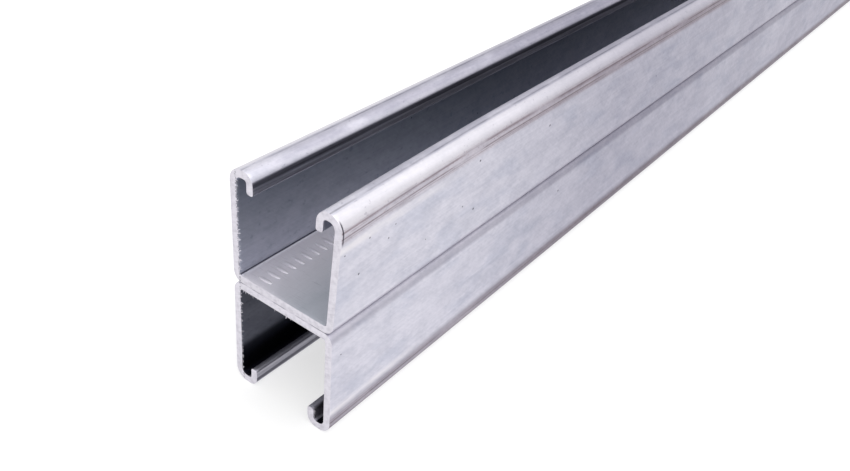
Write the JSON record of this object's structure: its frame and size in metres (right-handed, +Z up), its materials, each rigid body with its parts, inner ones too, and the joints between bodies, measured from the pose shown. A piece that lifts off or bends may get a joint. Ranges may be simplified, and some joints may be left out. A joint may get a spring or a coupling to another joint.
{
  "type": "back-to-back strut channel",
  "caption": "Cut length of doubled steel framing channel: C channels welded web to web, with inturned lips and an open slot along the top and the bottom.",
  "frame": {"origin": "middle of the length and of the width, on the level of the lower channel's lips, which the part stands on", "axes": "+X along the length, away from the pictured cut end; +Y across the webs; +Z up, from the lower slot to the upper slot"},
  "size_m": [0.9144, 0.0444, 0.083],
  "materials": {
    "upper_steel": "pre-galvanised, dull, light grey",
    "lower_steel": "pre-galvanised, dull, light grey"
  },
  "bodies": {
    "root": {"upper_channel": "upper_steel", "lower_channel": "lower_steel"}
  },
  "joints": []
}
